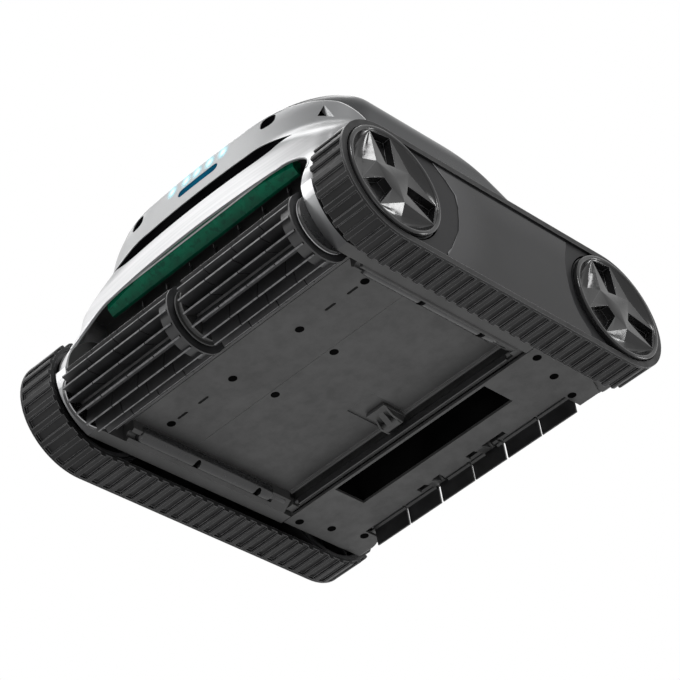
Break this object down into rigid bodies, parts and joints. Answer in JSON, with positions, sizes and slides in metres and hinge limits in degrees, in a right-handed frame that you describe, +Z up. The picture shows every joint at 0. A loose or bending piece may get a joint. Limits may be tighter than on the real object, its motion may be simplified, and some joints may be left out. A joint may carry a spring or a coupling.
{
  "type": "tracked pool cleaner",
  "caption": "Tracked underwater pool cleaner with lugged belts, twin bladed brush rollers, arched front, lift-up lid over a filter basket and a rear outlet.",
  "frame": {"origin": "centre of the footprint on the floor under the tread lugs, midway between the front of the brush and the rear of the cover", "axes": "-Y forwards (brush and light bar), +X to the cleaner's own left, +Z up"},
  "size_m": [0.417, 0.4339, 0.2353],
  "materials": {
    "belt_rubber": "matt moulded rubber",
    "hub_gloss": "semi-gloss",
    "drum_plastic": "matt",
    "axle_steel": "ground",
    "gear_nylon": "natural nylon",
    "brush_rubber": "satin rubber",
    "body_plastic": "fine texture",
    "guard_plastic": "satin",
    "panel_gloss": "high gloss",
    "fascia_paint": "silver paint, satin",
    "lens_black": "high gloss",
    "light_blue": "lit",
    "window_green": "tinted, satin",
    "cover_paint": "graphite, satin",
    "basket_mesh": "fine mesh on a frame",
    "bail_steel": "satin",
    "impeller_blue": "satin",
    "motor_metal": "satin",
    "cell_wrap": "shrink wrap",
    "screw_steel": "black oxide"
  },
  "bodies": {
    "base": {"chassis": "body_plastic", "front_belly_plate": "body_plastic", "centre_belly_plate": "body_plastic", "rear_belly_plate": "body_plastic", "side_frame_left": "body_plastic", "side_frame_right": "body_plastic", "gear_cover_left": "body_plastic", "gear_cover_right": "body_plastic", "track_left": "belt_rubber", "track_right": "belt_rubber", "front_axle_left": "axle_steel", "front_axle_right": "axle_steel", "brush_bearing": "body_plastic", "brush_guards": "guard_plastic", "side_panel_left": "panel_gloss", "side_panel_right": "panel_gloss", "fascia": "fascia_paint", "lens_strip": "lens_black", "light_bar": "light_blue", "front_sensors": "lens_black", "green_window": "window_green", "top_cover": "cover_paint", "carry_handle": "body_plastic", "outlet_grille": "body_plastic", "filter_bay": "body_plastic", "inlet_duct": "body_plastic", "pump_housing": "body_plastic", "pump_motor": "motor_metal", "power_box": "body_plastic", "battery_pack": "cell_wrap", "drive_motors": "motor_metal", "belly_screws": "screw_steel"},
    "wheel_rear_left": {"wheel_rear_left": "drum_plastic", "hub_cap_rear_left": "hub_gloss", "drive_shaft_left": "axle_steel"},
    "wheel_front_left": {"wheel_front_left": "drum_plastic", "hub_cap_front_left": "hub_gloss", "wheel_gear_left": "gear_nylon"},
    "brush_left": {"brush_left": "brush_rubber", "brush_shaft_left": "axle_steel", "brush_pinion_left": "gear_nylon"},
    "wheel_rear_right": {"wheel_rear_right": "drum_plastic", "hub_cap_rear_right": "hub_gloss", "drive_shaft_right": "axle_steel"},
    "wheel_front_right": {"wheel_front_right": "drum_plastic", "hub_cap_front_right": "hub_gloss", "wheel_gear_right": "gear_nylon"},
    "brush_right": {"brush_right": "brush_rubber", "brush_shaft_right": "axle_steel", "brush_pinion_right": "gear_nylon"},
    "lid": {"lid": "cover_paint"},
    "basket": {"filter_basket": "basket_mesh"},
    "bail": {"basket_bail": "bail_steel"},
    "button": {"power_button": "lens_black"},
    "port_cap": {"charge_cap": "body_plastic"},
    "impeller": {"impeller": "impeller_blue"},
    "mouth_flap": {"inlet_flap": "brush_rubber"},
    "mouth_lip": {"inlet_lip": "brush_rubber"},
    "skirt": {"rear_flap": "brush_rubber"}
  },
  "joints": [
    {"name": "drive_left", "type": "hinge", "parent": "base", "child": "wheel_rear_left", "pos_m": [0, 0.1472, 0.0622], "axis": [1, 0, 0], "continuous": true},
    {"name": "idler_left", "type": "hinge", "parent": "base", "child": "wheel_front_left", "pos_m": [0, -0.1472, 0.0622], "axis": [1, 0, 0], "continuous": true},
    {"name": "brush_spin_left", "type": "hinge", "parent": "base", "child": "brush_left", "pos_m": [0, -0.182, 0.036], "axis": [1, 0, 0], "continuous": true},
    {"name": "drive_right", "type": "hinge", "parent": "base", "child": "wheel_rear_right", "pos_m": [0, 0.1472, 0.0622], "axis": [1, 0, 0], "continuous": true},
    {"name": "idler_right", "type": "hinge", "parent": "base", "child": "wheel_front_right", "pos_m": [0, -0.1472, 0.0622], "axis": [1, 0, 0], "continuous": true},
    {"name": "brush_spin_right", "type": "hinge", "parent": "base", "child": "brush_right", "pos_m": [0, -0.182, 0.036], "axis": [1, 0, 0], "continuous": true},
    {"name": "lid_hinge", "type": "hinge", "parent": "base", "child": "lid", "pos_m": [0, 0.0474, 0.22191], "axis": [-1, 0, 0], "range_deg": [0, 100]},
    {"name": "basket_lift", "type": "slide", "parent": "base", "child": "basket", "axis": [0, 0, 1], "range_m": [0, 0.0593]},
    {"name": "bail_hinge", "type": "hinge", "parent": "basket", "child": "bail", "pos_m": [0, -0.033, 0.189], "axis": [-1, 0, 0], "range_deg": [0, 80]},
    {"name": "button_press", "type": "slide", "parent": "base", "child": "button", "axis": [0, 0, -1], "range_m": [0, 0.0015], "stiffness_N_per_m": 400},
    {"name": "cap_hinge", "type": "hinge", "parent": "base", "child": "port_cap", "pos_m": [0.121, -0.068, 0.23391], "axis": [1, 0, 0], "range_deg": [0, 95]},
    {"name": "impeller_spin", "type": "hinge", "parent": "base", "child": "impeller", "pos_m": [0, 0.105, 0.19897], "axis": [0, 0.4451, 0.8955], "continuous": true},
    {"name": "mouth_flap_hinge", "type": "hinge", "parent": "base", "child": "mouth_flap", "pos_m": [0, 0.0781, 0.058], "axis": [1, 0, 0], "range_deg": [0, 70]},
    {"name": "mouth_lip_swing", "type": "hinge", "parent": "base", "child": "mouth_lip", "pos_m": [0, 0.0666, 0.019], "axis": [1, 0, 0], "range_deg": [0, 12]},
    {"name": "skirt_swing", "type": "hinge", "parent": "base", "child": "skirt", "pos_m": [0, 0.158, 0.022], "axis": [1, 0, 0], "range_deg": [0, 45]}
  ],
  "couplings": [
    {"joint": "idler_left", "follows": "drive_left", "ratio": 1},
    {"joint": "brush_spin_left", "follows": "drive_left", "ratio": -4},
    {"joint": "idler_right", "follows": "drive_right", "ratio": 1},
    {"joint": "brush_spin_right", "follows": "drive_right", "ratio": -4},
    {"joint": "basket_lift", "follows": "lid_hinge", "m_per_rad": 0.034},
    {"joint": "bail_hinge", "follows": "lid_hinge", "ratio": 0.8}
  ]
}
